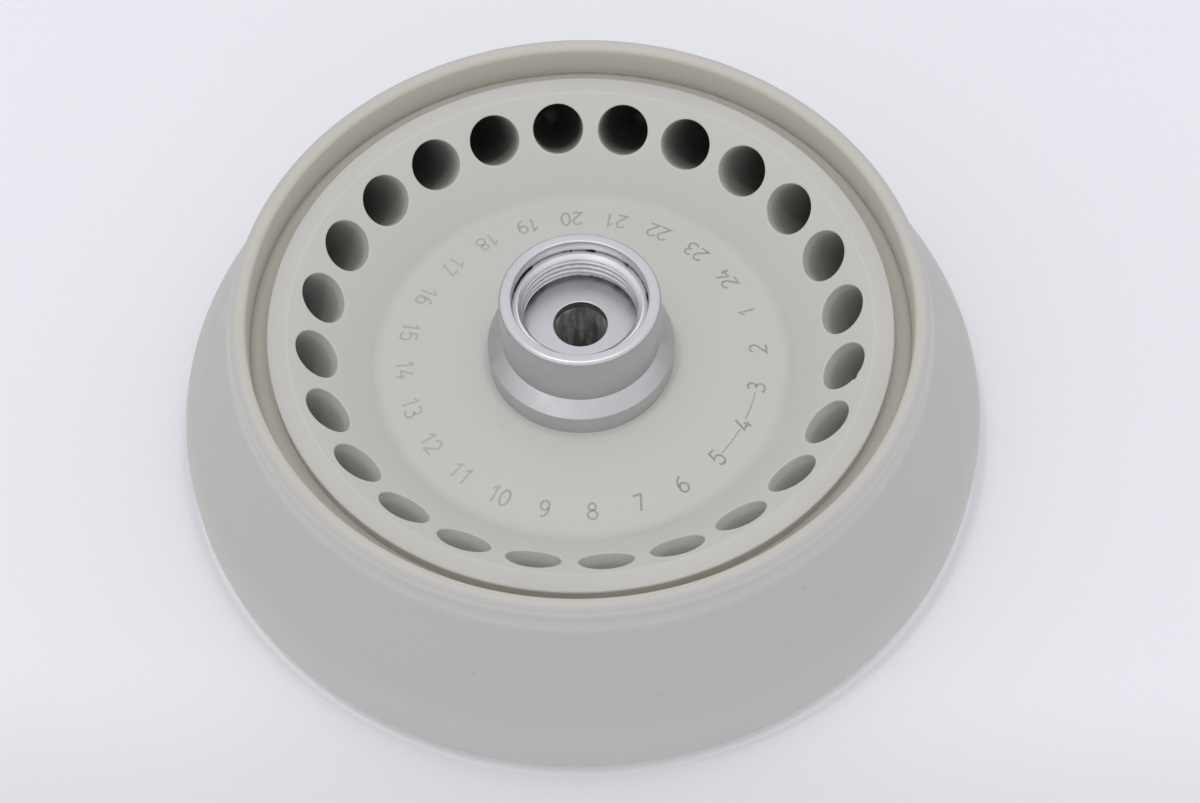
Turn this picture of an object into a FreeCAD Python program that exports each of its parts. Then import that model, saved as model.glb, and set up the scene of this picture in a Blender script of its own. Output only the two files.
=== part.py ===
"""Bare 24-place fixed-angle rotor of a microcentrifuge, for 1.5 mL tubes.

Millimetres, +Z up. The origin is on the spin axis, in the plane that the foot of the base cover stands on.
The rotor is a hollow moulding on a turned hub: the outer shell sits like a lampshade over the carrier of
the tube wells, and the base cover closes it from below. Nothing on a bare rotor moves against the rest.
"""
import FreeCAD, Part
import os
from math import asin, atan2, cos, hypot, pi, sin, sqrt, tan

V = FreeCAD.Vector
UP = V(0, 0, 1)

# ---- driving dimensions ----
# tube wells
WELL_COUNT = 24
WELL_TILT = 45.0           # angle between a well's axis and the spin axis
WELL_R = 5.55              # bore for a 1.5 mL tube, 10.8 mm across below its collar
WELL_RING_R = 55.2         # radius of the circle of mouth centres
WELL_RING_Z = 31.6         # height of that circle
WELL_STRAIGHT = 20.0       # depth of the cylindrical part
WELL_TIP_R = 1.9           # rounded end
WELL_DEPTH = 37.9          # depth to the very tip
WELL_WALL = 1.4
WELL_ABOVE = 4.0           # the cut starts this far above the mouth
FIRST_WELL_AZIMUTH = 7.5   # the X and Y axes pass between wells

# outer shell
RIM_IN_R = 68.8
RIM_OUT_R = 72.5
RIM_TOP_Z = 42.6
RIM_IN_ROUND = 1.4
RIM_OUT_ROUND = 2.2
NECK_Z = 38.3              # the rim's outside meets the cone here
NECK_ROUND = 9.0
BAND_R = 86.0              # upright band round the foot, the widest part
BAND_TOP_Z = 10.8
BAND_ROUND = 12.0
BAND_LOW_Z = 3.7           # the band turns into a 45 degree bevel here
BEVEL_WALL = 1.8
SEAM_Z = 1.2               # lower end of the shell, on the bevel
SHELL_WALL = 2.4           # level thickness of the cone
SHOULDER_WIDTH = 4.0       # the cone's inside starts this far out from the step
BAND_IN_R = 84.3
STEP_R = 70.8              # the step under the rim sits on the carrier's flange

# tube carrier
PLATE_EDGE_R = 65.1        # edge of the raised annulus outside the wells
PLATE_Z = 37.1
PLATE_STEP_R = 60.8        # the cone of the wells meets the annulus here
PLATE_STEP_ROUND = 1.0
PLATE_EDGE_ROUND = 0.4
GROOVE_Z = 34.2            # floor of the lid's groove, inside the rim
FLANGE_R = 70.6
FLANGE_LOW_Z = 31.0
SKIRT_IN_R = 62.2
DISC_EDGE_R = 44.2         # the crowned disc meets the cone here
DISC_EDGE_Z = 20.8
DISC_ROUND = 6.0
SEAT_R = 20.6              # flat seat for the hub's flange
SEAT_Z = 23.0
SEAT_WEB = 4.0
CARRIER_WALL = 3.2

# hub
HUB_TOP_Z = 44.0
HUB_R = 16.75
HUB_ROUND = 1.0
HUB_FLANGE_R = 19.7
HUB_FLANGE_Z = 28.05
HUB_CONE_TOP_Z = 31.1
SPIGOT_R = 13.0
SPIGOT_LOW_Z = 1.0
CUP_R = 14.2
CUP_ROUND = 0.4
CUP_SHOULDER_Z = 35.8
RELIEF_R = 12.7
CUP_FLOOR_Z = 34.45
FLOOR_LOW_Z = 32.5         # underside of the lip that covers the bush
SOCKET_R = 11.5            # drive socket in the underside
SOCKET_TOP_Z = 9.6
EDGE_BREAK = 0.5

# lid thread ring, bush and the bush's retaining ring
THREAD_MINOR_R = 11.9
THREAD_RING_TOP_Z = 41.5
BORE_R = 5.6
BUSH_R = 7.6
BUSH_LOW_Z = 11.4
RETAINER_LOW_Z = 10.3
RETAINER_GROOVE_R = 8.4
RETAINER_IN_R = 6.9
RETAINER_GAP = 5.0

# pieces stacked under the carrier's web
CLAMP_R = 20.5
CLAMP_LOW_Z = 14.0
SPACER_R = 17.5
COVER_BOSS_TOP_Z = 9.1
COVER_BOSS_LOW_Z = 5.6
NUT_R = 19.0
NUT_LOW_Z = 2.0
NUT_SLOT_COUNT = 6
NUT_SLOT = 3.0
NUT_SLOT_DEPTH = 1.6

# base cover
FOOT_IN_R = 62.0
RECESS_Z = 3.5
COVER_WALL = 2.2
COVER_SPIGOT_R = 80.6      # centres the cover in the shell
COVER_BOSS_R = 21.0
RIB_COUNT = 12
RIB_THICK = 2.0
RIB_LOW_Z = 1.0
PIT_R = 2.0                # balance pits drilled in the foot
PIT_DEPTH = 0.8
PIT_RING_R = 69.0
PIT_AZIMUTHS = (-4.5, 4.5)

# fasteners, pins, magnets and seals
HUB_SCREW_COUNT = 6
HUB_SCREW_RING_R = 16.0
HUB_SCREW_LENGTH = 9.0
HUB_SCREW_HOLE_TOP_Z = 27.0
BASE_SCREW_COUNT = 8
BASE_SCREW_RING_R = 76.4
BASE_SCREW_LENGTH = 8.0
SCREW_R = 1.5              # M3 throughout
SCREW_HEAD_R = 2.6
SCREW_HEAD = 2.0
KEY_R = 1.15               # corner radius of the hexagon socket
KEY_DEPTH = 1.2
WASHER_R = 2.75
WASHER_THICK = 0.5
CLEAR_R = 1.65
COUNTERBORE_R = 2.9
COUNTERBORE = 2.9
POST_R = 4.0
POST_SPLIT_Z = 5.0         # the cover's post ends here and the shell's begins
POST_TOP_Z = 13.0
POST_WEB = 3.0
INSERT_R = 2.4
INSERT_LENGTH = 6.0
DOWEL_R = 1.5
DOWEL_LOW_Z = 19.3
DOWEL_TOP_Z = 26.3
DOWEL_AZIMUTH = 90.0
DRIVE_PIN_R = 1.25
DRIVE_PIN_RING_R = 9.95
DRIVE_PIN_LOW_Z = 4.6
DRIVE_PIN_TOP_Z = 13.6
MAGNET_COUNT = 4
MAGNET_R = 3.0
MAGNET_THICK = 2.5
MAGNET_RING_R = 40.0
MAGNET_BOSS_R = 4.2
MAGNET_AZIMUTH = 45.0
SEAL_R = 0.45              # cord radius of both O-rings
SEAL_GROOVE_HALF = 0.6
HUB_SEAL_RING_R = 18.5
SHELL_SEAL_RING_R = 69.75
GASKET_THICK = 0.5
FIT = 0.05                 # radial play of everything that slides over something else

# ---- worked out from them ----
TAPER_LENGTH = WELL_DEPTH - WELL_TIP_R - WELL_STRAIGHT
TAPER = atan2(WELL_R, TAPER_LENGTH) - asin(WELL_TIP_R / hypot(WELL_R, TAPER_LENGTH))
CONE_SLOPE = (PLATE_Z - DISC_EDGE_Z) / (PLATE_STEP_R - DISC_EDGE_R)
CONE_DROP = CARRIER_WALL * sqrt(1 + CONE_SLOPE ** 2)
DISC_SLOPE = (SEAT_Z - DISC_EDGE_Z) / (DISC_EDGE_R - SEAT_R)
WEB_LOW_Z = SEAT_Z - SEAT_WEB
BEVEL_OFFSET = BAND_R - BAND_LOW_Z     # radius minus height is constant on the bevel


# ---- helpers ----
def rounded_outline(corners):
    """Closed wire in the XZ plane through (x, z) corners; a corner may add the radius of its round."""
    stretches = []
    for i, corner in enumerate(corners):
        here = V(corner[0], 0, corner[1])
        if len(corner) == 2:
            stretches.append((here, None, here))
            continue
        following = corners[(i + 1) % len(corners)]
        back = (V(corners[i - 1][0], 0, corners[i - 1][1]) - here).normalize()
        onward = (V(following[0], 0, following[1]) - here).normalize()
        half = back.getAngle(onward) / 2
        setback = corner[2] / tan(half)
        on_arc = here + (back + onward).normalize() * (corner[2] / sin(half) - corner[2])
        stretches.append((here + back * setback, on_arc, here + onward * setback))
    edges = []
    for i, (start, on_arc, end) in enumerate(stretches):
        if on_arc:
            edges.append(Part.Arc(start, on_arc, end).toShape())
        following = stretches[(i + 1) % len(stretches)][0]
        if end.distanceToPoint(following) > 1e-6:
            edges.append(Part.LineSegment(end, following).toShape())
    return Part.Wire(edges)


def turned(corners):
    """Solid of revolution about Z with this outline of (radius, height) corners."""
    return Part.Face(rounded_outline(corners)).revolve(V(0, 0, 0), UP, 360)


def ring(inner, outer, low, high):
    return turned([(inner, low), (outer, low), (outer, high), (inner, high)])


def rod(radius, low, high, ring_radius=0.0):
    """Upright cylinder, standing at ring_radius along +X."""
    return Part.makeCylinder(radius, high - low, V(ring_radius, 0, low))


def bar(near, far, width, low, high):
    """Radial block along +X."""
    return Part.makeBox(far - near, width, high - low, V(near, -width / 2, low))


def around(shape, count, first=0.0):
    """Equally spaced copies of a shape about the spin axis."""
    copies = []
    for i in range(count):
        copy = shape.copy()
        copy.rotate(V(0, 0, 0), UP, first + 360.0 * i / count)
        copies.append(copy)
    return copies


def joined(solids):
    return solids[0].multiFuse(solids[1:]).removeSplitter()


def screw(ring_radius, head_low, length):
    """Pan-head screw pointing up, with a hexagon socket in its head."""
    head_top = head_low + SCREW_HEAD
    head = rod(SCREW_HEAD_R, head_low, head_top, ring_radius)
    shank = rod(SCREW_R - FIT, head_top, head_top + length, ring_radius)
    angles = [i * pi / 3 for i in range(7)]
    hexagon = Part.makePolygon([V(ring_radius + KEY_R * cos(a), KEY_R * sin(a), head_low) for a in angles])
    return joined([head, shank]).cut(Part.Face(hexagon).extrude(UP * KEY_DEPTH))


def washer(ring_radius, low):
    high = low + WASHER_THICK
    return rod(WASHER_R, low, high, ring_radius).cut(rod(CLEAR_R, low, high, ring_radius))


def well_form(grown, start):
    """Space of one well, straight and then tapered to a round tip. grown adds to its radius all over."""
    radius = WELL_R + grown
    straight = WELL_STRAIGHT + grown * tan(TAPER / 2)
    depth = WELL_DEPTH + grown
    tip_corner = radius - (depth - straight) * tan(TAPER)
    form = turned([(0, -start), (radius, -start), (radius, -straight),
                   (tip_corner, -depth, WELL_TIP_R + grown), (0, -depth)])
    form.rotate(V(0, 0, 0), V(0, 1, 0), -WELL_TILT)
    form.translate(V(WELL_RING_R, 0, WELL_RING_Z))
    return form


def cone_z(radius, drop=0.0):
    """Height of the carrier's cone at a radius."""
    return DISC_EDGE_Z + CONE_SLOPE * (radius - DISC_EDGE_R) - drop


def bevel_r(z, wall=0.0):
    """Radius of the bevel at a height."""
    return BEVEL_OFFSET + z - wall * sqrt(2)


# ---- mouldings ----
def shell_outside():
    """Outline of the shell's outside, from the rim down to the seam."""
    return [(RIM_OUT_R, RIM_TOP_Z, RIM_OUT_ROUND), (RIM_OUT_R, NECK_Z, NECK_ROUND),
            (BAND_R, BAND_TOP_Z, BAND_ROUND), (BAND_R, BAND_LOW_Z), (bevel_r(SEAM_Z), SEAM_Z)]


def make_outer_shell():
    slope = (BAND_R - RIM_OUT_R) / (NECK_Z - BAND_TOP_Z)
    shoulder_r = STEP_R + SHOULDER_WIDTH
    shoulder_z = NECK_Z - (shoulder_r + SHELL_WALL - RIM_OUT_R) / slope
    band_in_top_z = NECK_Z - (BAND_IN_R + SHELL_WALL - RIM_OUT_R) / slope
    inside = [(bevel_r(SEAM_Z, BEVEL_WALL), SEAM_Z), (BAND_IN_R, BAND_IN_R - bevel_r(0, BEVEL_WALL)),
              (BAND_IN_R, band_in_top_z), (shoulder_r, shoulder_z), (STEP_R, FLANGE_LOW_Z),
              (STEP_R, GROOVE_Z), (RIM_IN_R, GROOVE_Z), (RIM_IN_R, RIM_TOP_Z, RIM_IN_ROUND)]
    shell = turned(shell_outside() + inside)
    envelope = turned([(0, RIM_TOP_Z)] + shell_outside() + [(0, SEAM_Z)])
    pillar = rod(POST_R, POST_SPLIT_Z, POST_TOP_Z, BASE_SCREW_RING_R)
    web = bar(BASE_SCREW_RING_R, BAND_R, POST_WEB, POST_SPLIT_Z, POST_TOP_Z)
    post = joined([pillar, web]).common(envelope)
    hole = rod(INSERT_R, POST_SPLIT_Z, POST_SPLIT_Z + INSERT_LENGTH, BASE_SCREW_RING_R)
    shell = joined([shell] + around(post, BASE_SCREW_COUNT))
    return shell.cut(around(hole, BASE_SCREW_COUNT))


def make_tube_carrier():
    groove_in = SHELL_SEAL_RING_R - SEAL_GROOVE_HALF
    groove_out = SHELL_SEAL_RING_R + SEAL_GROOVE_HALF
    groove_low = GROOVE_Z - 2 * SEAL_R
    under_x = (SEAT_WEB - CONE_DROP) / -(CONE_SLOPE + DISC_SLOPE)
    top = [(SPIGOT_R + FIT, SEAT_Z), (SEAT_R, SEAT_Z), (DISC_EDGE_R, DISC_EDGE_Z, DISC_ROUND),
           (PLATE_STEP_R, PLATE_Z, PLATE_STEP_ROUND), (PLATE_EDGE_R, PLATE_Z, PLATE_EDGE_ROUND),
           (PLATE_EDGE_R, GROOVE_Z), (groove_in, GROOVE_Z), (groove_in, groove_low),
           (groove_out, groove_low), (groove_out, GROOVE_Z), (FLANGE_R, GROOVE_Z)]
    underside = [(FLANGE_R, FLANGE_LOW_Z), (SKIRT_IN_R, FLANGE_LOW_Z),
                 (SKIRT_IN_R, cone_z(SKIRT_IN_R, CONE_DROP)),
                 (DISC_EDGE_R - under_x, cone_z(DISC_EDGE_R - under_x, CONE_DROP)),
                 (SEAT_R, WEB_LOW_Z), (SPIGOT_R + FIT, WEB_LOW_Z)]
    plate = turned(top + underside)
    socket = well_form(WELL_WALL, CARRIER_WALL / 2)
    well = well_form(0.0, -WELL_ABOVE)
    carrier = joined([plate] + around(socket, WELL_COUNT, FIRST_WELL_AZIMUTH))
    holes = around(well, WELL_COUNT, FIRST_WELL_AZIMUTH)
    holes += around(rod(CLEAR_R, WEB_LOW_Z, SEAT_Z, HUB_SCREW_RING_R), HUB_SCREW_COUNT)
    holes += around(rod(DOWEL_R, WEB_LOW_Z, SEAT_Z, HUB_SCREW_RING_R), 2, DOWEL_AZIMUTH)
    return carrier.cut(holes)


def make_base_cover():
    rim_z = SEAM_Z - GASKET_THICK
    recess_r = FOOT_IN_R - RECESS_Z      # the recess and the boss have 45 degree sides
    boss_foot_r = COVER_BOSS_R + COVER_BOSS_LOW_Z - RECESS_Z
    roof = RECESS_Z + COVER_WALL
    boss_top_foot_r = COVER_BOSS_R + COVER_BOSS_TOP_Z - roof
    underside = [(bevel_r(rim_z), rim_z), (bevel_r(0), 0), (FOOT_IN_R, 0), (recess_r, RECESS_Z),
                 (boss_foot_r, RECESS_Z), (COVER_BOSS_R, COVER_BOSS_LOW_Z),
                 (SPIGOT_R + FIT, COVER_BOSS_LOW_Z)]
    inside = [(SPIGOT_R + FIT, COVER_BOSS_TOP_Z), (COVER_BOSS_R, COVER_BOSS_TOP_Z), (boss_top_foot_r, roof),
              (recess_r + COVER_WALL, roof), (FOOT_IN_R + COVER_WALL, COVER_WALL),
              (COVER_SPIGOT_R, COVER_WALL), (COVER_SPIGOT_R, rim_z)]
    cover = turned(underside + inside)
    post = rod(POST_R, 0, POST_SPLIT_Z, BASE_SCREW_RING_R)
    rib = bar(boss_foot_r, recess_r, RIB_THICK, RIB_LOW_Z, RECESS_Z + COVER_WALL / 2)
    magnet_boss = rod(MAGNET_BOSS_R, RIB_LOW_Z, roof, MAGNET_RING_R)
    added = around(post, BASE_SCREW_COUNT) + around(rib, RIB_COUNT)
    added += around(magnet_boss, MAGNET_COUNT, MAGNET_AZIMUTH)
    cover = joined([cover] + added)
    holes = around(rod(COUNTERBORE_R, 0, COUNTERBORE, BASE_SCREW_RING_R), BASE_SCREW_COUNT)
    holes += around(rod(CLEAR_R, COUNTERBORE, POST_SPLIT_Z, BASE_SCREW_RING_R), BASE_SCREW_COUNT)
    magnet_hole = rod(MAGNET_R + FIT, RIB_LOW_Z, RIB_LOW_Z + MAGNET_THICK + FIT, MAGNET_RING_R)
    holes += around(magnet_hole, MAGNET_COUNT, MAGNET_AZIMUTH)
    for azimuth in PIT_AZIMUTHS:
        holes += around(rod(PIT_R, 0, PIT_DEPTH, PIT_RING_R), 1, azimuth)
    return cover.cut(holes)


# ---- hub and what is pressed into it ----
def make_hub():
    groove_in = HUB_SEAL_RING_R - SEAL_GROOVE_HALF
    groove_out = HUB_SEAL_RING_R + SEAL_GROOVE_HALF
    groove_top = SEAT_Z + 2 * SEAL_R
    outside = [(SPIGOT_R - EDGE_BREAK, SPIGOT_LOW_Z), (SPIGOT_R, SPIGOT_LOW_Z + EDGE_BREAK),
               (SPIGOT_R, SEAT_Z), (groove_in, SEAT_Z), (groove_in, groove_top), (groove_out, groove_top),
               (groove_out, SEAT_Z), (HUB_FLANGE_R, SEAT_Z), (HUB_FLANGE_R, HUB_FLANGE_Z),
               (HUB_R, HUB_CONE_TOP_Z), (HUB_R, HUB_TOP_Z, HUB_ROUND)]
    inside = [(CUP_R, HUB_TOP_Z, CUP_ROUND), (CUP_R, CUP_SHOULDER_Z), (RELIEF_R, CUP_SHOULDER_Z),
              (RELIEF_R, CUP_FLOOR_Z), (BORE_R, CUP_FLOOR_Z), (BORE_R, FLOOR_LOW_Z), (BUSH_R, FLOOR_LOW_Z),
              (BUSH_R, BUSH_LOW_Z), (RETAINER_GROOVE_R, BUSH_LOW_Z),
              (RETAINER_GROOVE_R, RETAINER_LOW_Z), (BUSH_R, RETAINER_LOW_Z), (BUSH_R, SOCKET_TOP_Z),
              (SOCKET_R, SOCKET_TOP_Z), (SOCKET_R, SPIGOT_LOW_Z)]
    hub = turned(outside + inside)
    holes = around(rod(SCREW_R, SEAT_Z, HUB_SCREW_HOLE_TOP_Z, HUB_SCREW_RING_R), HUB_SCREW_COUNT)
    holes += around(rod(DOWEL_R, SEAT_Z, DOWEL_TOP_Z, HUB_SCREW_RING_R), 2, DOWEL_AZIMUTH)
    holes += around(rod(DRIVE_PIN_R, SOCKET_TOP_Z, DRIVE_PIN_TOP_Z, DRIVE_PIN_RING_R), 2)
    return hub.cut(holes)


def make_lid_thread_ring():
    lead_in = 2 * EDGE_BREAK
    return turned([(THREAD_MINOR_R, CUP_SHOULDER_Z), (CUP_R - FIT, CUP_SHOULDER_Z),
                   (CUP_R - FIT, THREAD_RING_TOP_Z - EDGE_BREAK), (CUP_R - lead_in, THREAD_RING_TOP_Z),
                   (THREAD_MINOR_R + lead_in, THREAD_RING_TOP_Z),
                   (THREAD_MINOR_R, THREAD_RING_TOP_Z - lead_in)])


def make_bush_retaining_ring():
    full = ring(RETAINER_IN_R, RETAINER_GROOVE_R - FIT, RETAINER_LOW_Z + FIT, BUSH_LOW_Z - FIT)
    gap = bar(-RETAINER_GROOVE_R, -RETAINER_IN_R / 2, RETAINER_GAP, RETAINER_LOW_Z, BUSH_LOW_Z)
    return full.cut(gap)


def make_hub_clamp_ring():
    clamp = ring(SPIGOT_R + FIT, CLAMP_R, CLAMP_LOW_Z, WEB_LOW_Z)
    counterbore_top = CLAMP_LOW_Z + COUNTERBORE
    holes = around(rod(COUNTERBORE_R, CLAMP_LOW_Z, counterbore_top, HUB_SCREW_RING_R), HUB_SCREW_COUNT)
    holes += around(rod(CLEAR_R, counterbore_top, WEB_LOW_Z, HUB_SCREW_RING_R), HUB_SCREW_COUNT)
    return clamp.cut(holes)


def make_base_ring_nut():
    slot = bar(NUT_R - NUT_SLOT_DEPTH, NUT_R + 1, NUT_SLOT, NUT_LOW_Z, COVER_BOSS_LOW_Z)
    nut = ring(SPIGOT_R + FIT, NUT_R, NUT_LOW_Z, COVER_BOSS_LOW_Z)
    return nut.cut(around(slot, NUT_SLOT_COUNT))


# ---- repeated small pieces ----
def make_hub_screws():
    head_low = CLAMP_LOW_Z + COUNTERBORE - WASHER_THICK - SCREW_HEAD
    return around(screw(HUB_SCREW_RING_R, head_low, HUB_SCREW_LENGTH), HUB_SCREW_COUNT)


def make_hub_screw_washers():
    return around(washer(HUB_SCREW_RING_R, CLAMP_LOW_Z + COUNTERBORE - WASHER_THICK), HUB_SCREW_COUNT)


def make_base_screws():
    head_low = COUNTERBORE - WASHER_THICK - SCREW_HEAD
    return around(screw(BASE_SCREW_RING_R, head_low, BASE_SCREW_LENGTH), BASE_SCREW_COUNT)


def make_base_screw_washers():
    return around(washer(BASE_SCREW_RING_R, COUNTERBORE - WASHER_THICK), BASE_SCREW_COUNT)


def make_shell_inserts():
    top = POST_SPLIT_Z + INSERT_LENGTH
    body = rod(INSERT_R, POST_SPLIT_Z, top, BASE_SCREW_RING_R)
    return around(body.cut(rod(SCREW_R, POST_SPLIT_Z, top, BASE_SCREW_RING_R)), BASE_SCREW_COUNT)


def make_hub_dowels():
    return around(rod(DOWEL_R, DOWEL_LOW_Z, DOWEL_TOP_Z, HUB_SCREW_RING_R), 2, DOWEL_AZIMUTH)


def make_drive_pins():
    return around(rod(DRIVE_PIN_R, DRIVE_PIN_LOW_Z, DRIVE_PIN_TOP_Z, DRIVE_PIN_RING_R), 2)


def make_id_magnets():
    magnet = rod(MAGNET_R, RIB_LOW_Z, RIB_LOW_Z + MAGNET_THICK, MAGNET_RING_R)
    return around(magnet, MAGNET_COUNT, MAGNET_AZIMUTH)


def make_base_gasket():
    low = SEAM_Z - GASKET_THICK
    inner = bevel_r(SEAM_Z, BEVEL_WALL)
    return turned([(inner, low), (bevel_r(low), low), (bevel_r(SEAM_Z), SEAM_Z), (inner, SEAM_Z)])


NODES = {
    "outer_shell": [make_outer_shell()],
    "tube_carrier": [make_tube_carrier()],
    "base_cover": [make_base_cover()],
    "hub": [make_hub()],
    "lid_thread_ring": [make_lid_thread_ring()],
    "bore_bush": [ring(BORE_R, BUSH_R - FIT, BUSH_LOW_Z, FLOOR_LOW_Z)],
    "bush_retaining_ring": [make_bush_retaining_ring()],
    "hub_clamp_ring": [make_hub_clamp_ring()],
    "hub_spacer": [ring(SPIGOT_R + FIT, SPACER_R, COVER_BOSS_TOP_Z, CLAMP_LOW_Z)],
    "base_ring_nut": [make_base_ring_nut()],
    "hub_screws": make_hub_screws(),
    "hub_screw_washers": make_hub_screw_washers(),
    "hub_dowels": make_hub_dowels(),
    "drive_pins": make_drive_pins(),
    "base_screws": make_base_screws(),
    "base_screw_washers": make_base_screw_washers(),
    "shell_inserts": make_shell_inserts(),
    "id_magnets": make_id_magnets(),
    "hub_seal_ring": [Part.makeTorus(HUB_SEAL_RING_R, SEAL_R, V(0, 0, SEAT_Z + SEAL_R))],
    "shell_seal_ring": [Part.makeTorus(SHELL_SEAL_RING_R, SEAL_R, V(0, 0, GROOVE_Z - SEAL_R))],
    "base_gasket": [make_base_gasket()],
}

os.makedirs("parts", exist_ok=True)
for name, solids in NODES.items():
    for solid in solids:
        if not solid.isValid():
            raise ValueError(f"{name} isn't a valid solid")
    shape = solids[0] if len(solids) == 1 else Part.makeCompound(solids)
    shape.exportStep(f"parts/{name}.step")
    print(f"{name}: {len(shape.Solids)} solid(s), {shape.Volume:.0f} mm3")
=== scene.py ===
import random
from math import asin, atan2, cos, hypot, pi, radians, sin, sqrt, tan
import bmesh
import bpy
from mathutils import Matrix, Vector


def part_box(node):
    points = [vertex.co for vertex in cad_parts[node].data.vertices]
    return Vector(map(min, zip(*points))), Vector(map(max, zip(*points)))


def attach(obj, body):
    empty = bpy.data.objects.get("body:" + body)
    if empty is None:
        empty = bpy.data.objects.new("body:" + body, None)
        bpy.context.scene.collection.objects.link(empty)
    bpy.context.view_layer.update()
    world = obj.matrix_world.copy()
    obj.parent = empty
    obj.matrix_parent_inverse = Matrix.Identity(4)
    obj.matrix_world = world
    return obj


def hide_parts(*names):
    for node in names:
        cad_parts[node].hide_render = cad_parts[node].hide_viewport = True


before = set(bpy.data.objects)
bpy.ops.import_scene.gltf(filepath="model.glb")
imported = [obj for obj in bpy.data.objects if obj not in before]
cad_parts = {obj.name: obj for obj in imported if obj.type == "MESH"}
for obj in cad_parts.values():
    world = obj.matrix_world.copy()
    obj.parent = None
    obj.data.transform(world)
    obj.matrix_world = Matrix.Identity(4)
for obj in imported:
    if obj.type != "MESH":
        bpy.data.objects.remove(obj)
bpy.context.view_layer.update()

MM = 0.001


def top_of(node):
    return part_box(node)[1].z / MM


def foot_of(node):
    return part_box(node)[0].z / MM


# ---- sizes of the visible pieces, in millimetres, as the CAD model has them ----
WELL_COUNT = 24
WELL_PITCH = 2 * pi / WELL_COUNT
WELL_TILT = radians(45)
WELL_R = 5.55
WELL_RING_R = 55.2
WELL_RING_Z = 31.6
WELL_STRAIGHT = 20.0
WELL_TIP_R = 1.9
WELL_DEPTH = 37.9
WELL_WALL = 1.4
WELL_2_AZIMUTH = radians(7.5)
MOUTH_ROUND = 0.25
WELL_START = 0.2 * WELL_R     # depth at which the mouth's round has become the bore, all the way round
NICK_TURN = radians(-48)    # round the mouth, from the direction up the cone
NICK_R = 0.75
NICK_SEED = 5
NICK_ROUGH = (0.75, 1.1)    # shares of its size between which its surface varies

RIM_IN_R = 68.8
RIM_OUT_R = 72.5
RIM_TOP_Z = top_of("outer_shell")
RIM_IN_ROUND = 1.4
RIM_OUT_ROUND = 2.2
NECK_Z = 38.3
NECK_ROUND = 9.0
BAND_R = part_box("outer_shell")[1].x / MM
BAND_TOP_Z = 10.8
BAND_ROUND = 12.0
BAND_LOW_Z = 3.7
BAND_LOW_ROUND = 0.3
SEAM_Z = foot_of("outer_shell")
SHELL_WALL = 2.4
SHOULDER_WIDTH = 4.0
BEVEL_WALL = 1.8
BAND_IN_R = 84.3
STEP_R = 70.8
BASE_SCREW_COUNT = 8
BASE_SCREW_RING_R = 76.4
POST_R = 4.0
POST_LOW_Z = foot_of("shell_inserts")
POST_TOP_Z = 13.0
POST_WEB = 3.0
INSERT_R = 2.4
INSERT_TOP_Z = top_of("shell_inserts")

PLATE_EDGE_R = 65.1
PLATE_Z = 37.1
PLATE_STEP_R = 60.8
PLATE_STEP_ROUND = 1.0
PLATE_EDGE_ROUND = 0.4
GROOVE_Z = 34.2
FLANGE_R = 70.6
FLANGE_LOW_Z = 31.0
SKIRT_IN_R = 62.2
DISC_EDGE_R = 44.2
DISC_EDGE_Z = 20.8
DISC_ROUND = 6.0
SEAT_R = 20.6
SEAT_Z = 23.0
SEAT_ROUND = 1.5
SEAT_WEB = 4.0
CARRIER_WALL = 3.2
SPIGOT_R = 13.0
FIT = 0.05

HUB_TOP_Z = top_of("hub")
HUB_LOW_Z = foot_of("hub")
HUB_R = 16.75
HUB_FLANGE_R = 19.7
HUB_FLANGE_Z = 28.05
HUB_CONE_TOP_Z = 31.1
HUB_FLANGE_ROUND = 0.25
HUB_CONE_ROUND = 0.15
HUB_RIM_ROUND = 1.0
SPIGOT_CHAMFER = 0.5
CUP_R = 14.2
CUP_ROUND = 0.4
CUP_SHOULDER_Z = 35.8
RELIEF_R = 12.7
RELIEF_ROUND = 0.3
CUP_FLOOR_Z = 34.45
FLOOR_LOW_Z = 32.5
SOCKET_R = 11.5
SOCKET_TOP_Z = 9.6
HUB_SCREW_RING_R = 16.0
HUB_SCREW_COUNT = 6
SCREW_R = 1.5
SCREW_HOLE_TOP_Z = 27.0
DOWEL_COUNT = 2
CLEAR_R = 1.65
DOWEL_R = 1.5
DOWEL_TOP_Z = top_of("hub_dowels")
DRIVE_PIN_R = 1.25
DRIVE_PIN_RING_R = 9.95
DRIVE_PIN_TOP_Z = top_of("drive_pins")
DRIVE_PIN_COUNT = 2
RETAINER_GROOVE_R = 8.4
RETAINER_LOW_Z = 10.3
SEAL_R = 0.45
SEAL_GROOVE_HALF = 0.6
HUB_SEAL_RING_R = 18.5
SHELL_SEAL_RING_R = 69.75

THREAD_MINOR_R = 11.9
THREAD_DEPTH = 0.5
THREAD_PITCH = 1.5
THREAD_TOP_Z = top_of("lid_thread_ring")
THREAD_CLEAR_TOP = 0.7     # the thread starts this far below the ring's top
THREAD_FADE_TOP = 0.5
THREAD_FADE_LOW = 0.4
RING_CHAMFER = 1.0
RING_BEVEL_WIDTH = 0.95
RING_BEVEL_DEPTH = 0.5
BORE_R = 5.6
BORE_ROUND = 0.25
BUSH_R = 7.55
BUSH_LOW_Z = foot_of("bore_bush")
BUSH_TOP_Z = top_of("bore_bush")
BUSH_ROUND = 0.3

TAPER_LENGTH = WELL_DEPTH - WELL_TIP_R - WELL_STRAIGHT
TAPER = atan2(WELL_R, TAPER_LENGTH) - asin(WELL_TIP_R / hypot(WELL_R, TAPER_LENGTH))
CONE_SLOPE = (PLATE_Z - DISC_EDGE_Z) / (PLATE_STEP_R - DISC_EDGE_R)
CONE_DROP = CARRIER_WALL * sqrt(1 + CONE_SLOPE ** 2)
DISC_SLOPE = (SEAT_Z - DISC_EDGE_Z) / (DISC_EDGE_R - SEAT_R)

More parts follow.
